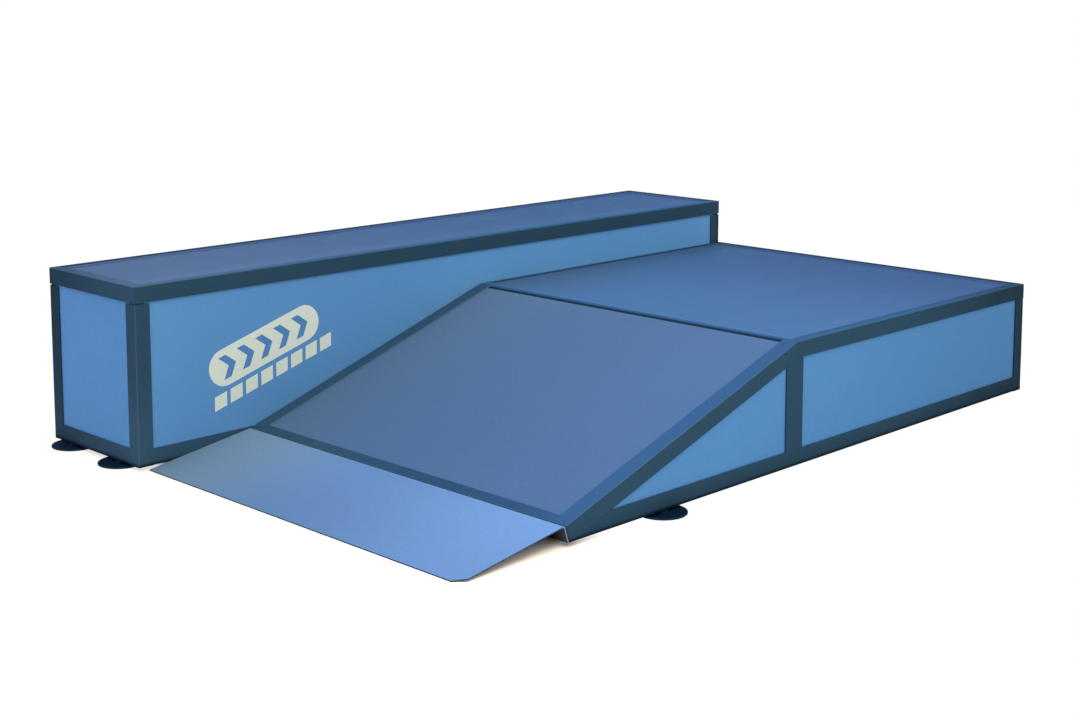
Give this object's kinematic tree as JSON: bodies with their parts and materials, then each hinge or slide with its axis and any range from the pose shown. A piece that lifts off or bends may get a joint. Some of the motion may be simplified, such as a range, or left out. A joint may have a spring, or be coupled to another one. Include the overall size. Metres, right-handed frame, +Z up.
{
  "type": "skate ramp with grind ledge",
  "caption": "Flat bank skate ramp with platform and a higher grind ledge bolted along one side, in painted steel angle with board decks, panels, an entry sheet and levelling feet.",
  "frame": {"origin": "on the ground, under the middle of the whole outline over the foot discs", "axes": "+Z up, +Y the way a rider goes up the bank, +X from the ledge towards the ramp"},
  "size_m": [1.7058, 2.527, 0.5],
  "materials": {
    "frame_steel": "satin powder coat, dark blue grey",
    "rim_steel": "satin powder coat, mid blue",
    "deck_board": "film-faced plywood, blue, matt",
    "side_board": "laminate-faced board, light blue, satin",
    "entry_sheet": "satin powder coat, pale blue",
    "foot_steel": "satin powder coat, near-black blue",
    "zinc_steel": "zinc plated"
  },
  "bodies": {
    "frame": {"bank_bearer_1": "frame_steel", "bank_bearer_2": "frame_steel", "bank_deck_board": "deck_board", "bank_rim_front": "rim_steel", "bank_rim_left": "rim_steel", "bank_rim_right": "rim_steel", "entry_plate": "entry_sheet", "knee_post_left": "frame_steel", "knee_post_right": "frame_steel", "knee_rim": "rim_steel", "ledge_bearer_1": "frame_steel", "ledge_bearer_2": "frame_steel", "ledge_cap_angle_back": "frame_steel", "ledge_cap_angle_far": "frame_steel", "ledge_cap_angle_front": "frame_steel", "ledge_cap_angle_near": "frame_steel", "ledge_deck_board": "deck_board", "ledge_panel_back": "side_board", "ledge_panel_far": "side_board", "ledge_panel_front": "side_board", "ledge_panel_near": "side_board", "ledge_post_back_left": "frame_steel", "ledge_post_back_right": "frame_steel", "ledge_post_front_left": "frame_steel", "ledge_post_front_right": "frame_steel", "ledge_rail_back": "frame_steel", "ledge_rail_far": "frame_steel", "ledge_rail_front": "frame_steel", "ledge_rail_near": "frame_steel", "platform_bearer_1": "frame_steel", "platform_bearer_2": "frame_steel", "platform_bearer_3": "frame_steel", "platform_deck_board": "deck_board", "platform_rim_back": "rim_steel", "platform_rim_left": "rim_steel", "platform_rim_right": "rim_steel", "ramp_panel_back": "side_board", "ramp_panel_side": "side_board", "ramp_panel_triangle": "side_board", "ramp_rail_back": "frame_steel", "ramp_rail_left": "frame_steel", "ramp_rail_right": "frame_steel", "rear_post_left": "frame_steel", "rear_post_right": "frame_steel"},
    "foot_plate_ledge_front_right": {"foot_plate_ledge_front_right": "foot_steel"},
    "foot_spindle_ledge_front_right": {"foot_spindle_ledge_front_right": "zinc_steel"},
    "foot_plate_ledge_front_left": {"foot_plate_ledge_front_left": "foot_steel"},
    "foot_spindle_ledge_front_left": {"foot_spindle_ledge_front_left": "zinc_steel"},
    "foot_plate_ledge_back_right": {"foot_plate_ledge_back_right": "foot_steel"},
    "foot_spindle_ledge_back_right": {"foot_spindle_ledge_back_right": "zinc_steel"},
    "foot_plate_ledge_back_left": {"foot_plate_ledge_back_left": "foot_steel"},
    "foot_spindle_ledge_back_left": {"foot_spindle_ledge_back_left": "zinc_steel"},
    "foot_plate_ramp_front_right": {"foot_plate_ramp_front_right": "foot_steel"},
    "foot_spindle_ramp_front_right": {"foot_spindle_ramp_front_right": "zinc_steel"},
    "foot_plate_ramp_front_left": {"foot_plate_ramp_front_left": "foot_steel"},
    "foot_spindle_ramp_front_left": {"foot_spindle_ramp_front_left": "zinc_steel"},
    "foot_plate_ramp_back_right": {"foot_plate_ramp_back_right": "foot_steel"},
    "foot_spindle_ramp_back_right": {"foot_spindle_ramp_back_right": "zinc_steel"},
    "foot_plate_ramp_back_left": {"foot_plate_ramp_back_left": "foot_steel"},
    "foot_spindle_ramp_back_left": {"foot_spindle_ramp_back_left": "zinc_steel"}
  },
  "joints": [
    {"name": "height_ledge_front_right", "type": "slide", "parent": "frame", "child": "foot_plate_ledge_front_right", "axis": [0, 0, 1], "range_m": [-0.03, 0]},
    {"name": "turn_ledge_front_right", "type": "hinge", "parent": "foot_plate_ledge_front_right", "child": "foot_spindle_ledge_front_right", "pos_m": [-0.5324, -1.1995, 0], "axis": [0, 0, 1], "range_deg": [0, 7201]},
    {"name": "height_ledge_front_left", "type": "slide", "parent": "frame", "child": "foot_plate_ledge_front_left", "axis": [0, 0, 1], "range_m": [-0.03, 0]},
    {"name": "turn_ledge_front_left", "type": "hinge", "parent": "foot_plate_ledge_front_left", "child": "foot_spindle_ledge_front_left", "pos_m": [-0.7764, -1.1995, 0], "axis": [0, 0, 1], "range_deg": [0, 7201]},
    {"name": "height_ledge_back_right", "type": "slide", "parent": "frame", "child": "foot_plate_ledge_back_right", "axis": [0, 0, 1], "range_m": [-0.03, 0]},
    {"name": "turn_ledge_back_right", "type": "hinge", "parent": "foot_plate_ledge_back_right", "child": "foot_spindle_ledge_back_right", "pos_m": [-0.5324, 1.1995, 0], "axis": [0, 0, 1], "range_deg": [0, 7201]},
    {"name": "height_ledge_back_left", "type": "slide", "parent": "frame", "child": "foot_plate_ledge_back_left", "axis": [0, 0, 1], "range_m": [-0.03, 0]},
    {"name": "turn_ledge_back_left", "type": "hinge", "parent": "foot_plate_ledge_back_left", "child": "foot_spindle_ledge_back_left", "pos_m": [-0.7764, 1.1995, 0], "axis": [0, 0, 1], "range_deg": [0, 7201]},
    {"name": "height_ramp_front_right", "type": "slide", "parent": "frame", "child": "foot_plate_ramp_front_right", "axis": [0, 0, 1], "range_m": [-0.03, 0]},
    {"name": "turn_ramp_front_right", "type": "hinge", "parent": "foot_plate_ramp_front_right", "child": "foot_spindle_ramp_front_right", "pos_m": [0.7889, -0.499, 0], "axis": [0, 0, 1], "range_deg": [0, 7201]},
    {"name": "height_ramp_front_left", "type": "slide", "parent": "frame", "child": "foot_plate_ramp_front_left", "axis": [0, 0, 1], "range_m": [-0.03, 0]},
    {"name": "turn_ramp_front_left", "type": "hinge", "parent": "foot_plate_ramp_front_left", "child": "foot_spindle_ramp_front_left", "pos_m": [-0.3951, -0.499, 0], "axis": [0, 0, 1], "range_deg": [0, 7201]},
    {"name": "height_ramp_back_right", "type": "slide", "parent": "frame", "child": "foot_plate_ramp_back_right", "axis": [0, 0, 1], "range_m": [-0.03, 0]},
    {"name": "turn_ramp_back_right", "type": "hinge", "parent": "foot_plate_ramp_back_right", "child": "foot_spindle_ramp_back_right", "pos_m": [0.7119, 1.1995, 0], "axis": [0, 0, 1], "range_deg": [0, 7201]},
    {"name": "height_ramp_back_left", "type": "slide", "parent": "frame", "child": "foot_plate_ramp_back_left", "axis": [0, 0, 1], "range_m": [-0.03, 0]},
    {"name": "turn_ramp_back_left", "type": "hinge", "parent": "foot_plate_ramp_back_left", "child": "foot_spindle_ramp_back_left", "pos_m": [-0.3181, 1.1995, 0], "axis": [0, 0, 1], "range_deg": [0, 7201]}
  ],
  "couplings": [
    {"joint": "turn_ledge_front_right", "follows": "height_ledge_front_right", "rad_per_m": -4188.8},
    {"joint": "turn_ledge_front_left", "follows": "height_ledge_front_left", "rad_per_m": -4188.8},
    {"joint": "turn_ledge_back_right", "follows": "height_ledge_back_right", "rad_per_m": -4188.8},
    {"joint": "turn_ledge_back_left", "follows": "height_ledge_back_left", "rad_per_m": -4188.8},
    {"joint": "turn_ramp_front_right", "follows": "height_ramp_front_right", "rad_per_m": -4188.8},
    {"joint": "turn_ramp_front_left", "follows": "height_ramp_front_left", "rad_per_m": -4188.8},
    {"joint": "turn_ramp_back_right", "follows": "height_ramp_back_right", "rad_per_m": -4188.8},
    {"joint": "turn_ramp_back_left", "follows": "height_ramp_back_left", "rad_per_m": -4188.8}
  ]
}
